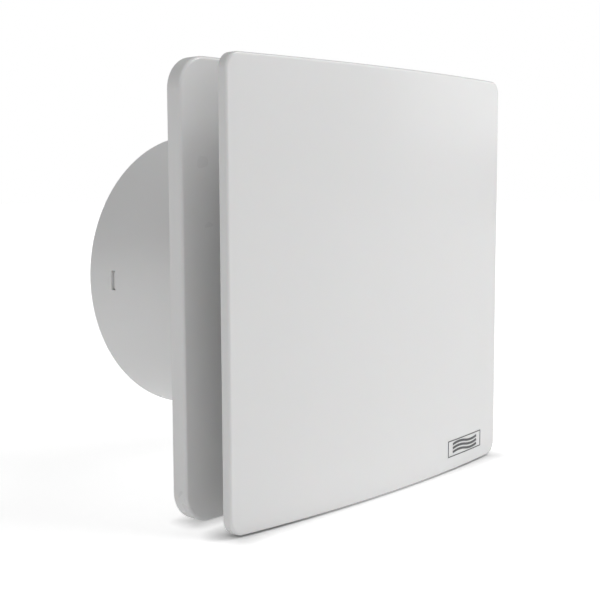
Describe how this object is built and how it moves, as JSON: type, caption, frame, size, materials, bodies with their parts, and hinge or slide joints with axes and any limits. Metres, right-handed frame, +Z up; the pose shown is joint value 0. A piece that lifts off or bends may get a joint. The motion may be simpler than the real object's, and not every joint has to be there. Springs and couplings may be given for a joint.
{
  "type": "bathroom extractor fan",
  "caption": "Wall-mounted bathroom extractor fan: bowed square pull-off cover, flat base with inlet gap, axial fan and motor in a round duct spigot, butterfly backdraught damper.",
  "frame": {"origin": "on the duct axis in the plane of the wall face, which is also the centre of the wall screw pattern", "axes": "+X right as seen from the room, +Y into the wall along the duct, +Z up; the cover faces -Y"},
  "size_m": [0.1714, 0.116, 0.1714],
  "materials": {
    "housing_plastic": "satin",
    "cover_plastic": "satin",
    "badge_print": "matt print",
    "terminal_plastic": "moulded",
    "brass_clamp": "turned",
    "screw_steel": "zinc plated",
    "lid_plastic": "satin",
    "grommet_rubber": "moulded",
    "clamp_plastic": "moulded",
    "lamination_steel": "stacked sheet",
    "ring_copper": "drawn copper",
    "bobbin_plastic": "moulded",
    "winding_copper": "enamelled copper",
    "coil_tape": "tape",
    "cutout_plastic": "moulded",
    "bracket_metal": "die cast",
    "bush_bronze": "sintered",
    "felt": "oiled felt",
    "clip_steel": "spring steel",
    "lead_brown": "sleeved wire",
    "lead_blue": "sleeved wire",
    "damper_plastic": "moulded",
    "pin_steel": "drawn wire",
    "shaft_steel": "ground",
    "spacer_plastic": "moulded",
    "impeller_plastic": "satin"
  },
  "bodies": {
    "housing": {"housing": "housing_plastic", "terminal_block": "terminal_plastic", "terminal_clamps": "brass_clamp", "terminal_screws": "screw_steel", "terminal_lid": "lid_plastic", "terminal_lid_screw": "screw_steel", "cable_grommet": "grommet_rubber", "cord_clamp": "clamp_plastic", "cord_clamp_screws": "screw_steel", "stator_core": "lamination_steel", "coil_core_bar": "lamination_steel", "shading_rings": "ring_copper", "coil_bobbin": "bobbin_plastic", "coil_winding": "winding_copper", "coil_wrap": "coil_tape", "coil_tabs": "brass_clamp", "thermal_cutout": "cutout_plastic", "front_bearing_bracket": "bracket_metal", "rear_bearing_bracket": "bracket_metal", "front_bearing_bush": "bush_bronze", "rear_bearing_bush": "bush_bronze", "front_oil_felt": "felt", "rear_oil_felt": "felt", "front_bearing_clip": "clip_steel", "rear_bearing_clip": "clip_steel", "motor_screws": "screw_steel", "motor_lead_live": "lead_brown", "motor_lead_neutral": "lead_blue", "damper_frame": "damper_plastic", "damper_pin": "pin_steel"},
    "cover": {"front_cover": "cover_plastic", "cover_badge": "badge_print"},
    "rotor": {"motor_shaft": "shaft_steel", "rotor_core": "lamination_steel", "rotor_cage": "bracket_metal", "rotor_spacers": "spacer_plastic", "impeller": "impeller_plastic", "impeller_clip": "clip_steel"},
    "flap_left": {"damper_flap_left": "damper_plastic", "damper_spring_left": "pin_steel"},
    "flap_right": {"damper_flap_right": "damper_plastic", "damper_spring_right": "pin_steel"}
  },
  "joints": [
    {"name": "front_cover_pull", "type": "slide", "parent": "housing", "child": "cover", "axis": [0, -1, 0], "range_m": [0, 0.03]},
    {"name": "fan_spin", "type": "hinge", "parent": "housing", "child": "rotor", "pos_m": [0, 0.045, 0], "axis": [0, 1, 0], "continuous": true},
    {"name": "flap_left_swing", "type": "hinge", "parent": "housing", "child": "flap_left", "pos_m": [0, 0.0705, 0], "axis": [0, 0, -1], "range_deg": [0, 78], "stiffness_Nm_per_rad": 0.0008},
    {"name": "flap_right_swing", "type": "hinge", "parent": "housing", "child": "flap_right", "pos_m": [0, 0.0705, 0], "axis": [0, 0, 1], "range_deg": [0, 78], "stiffness_Nm_per_rad": 0.0008}
  ]
}
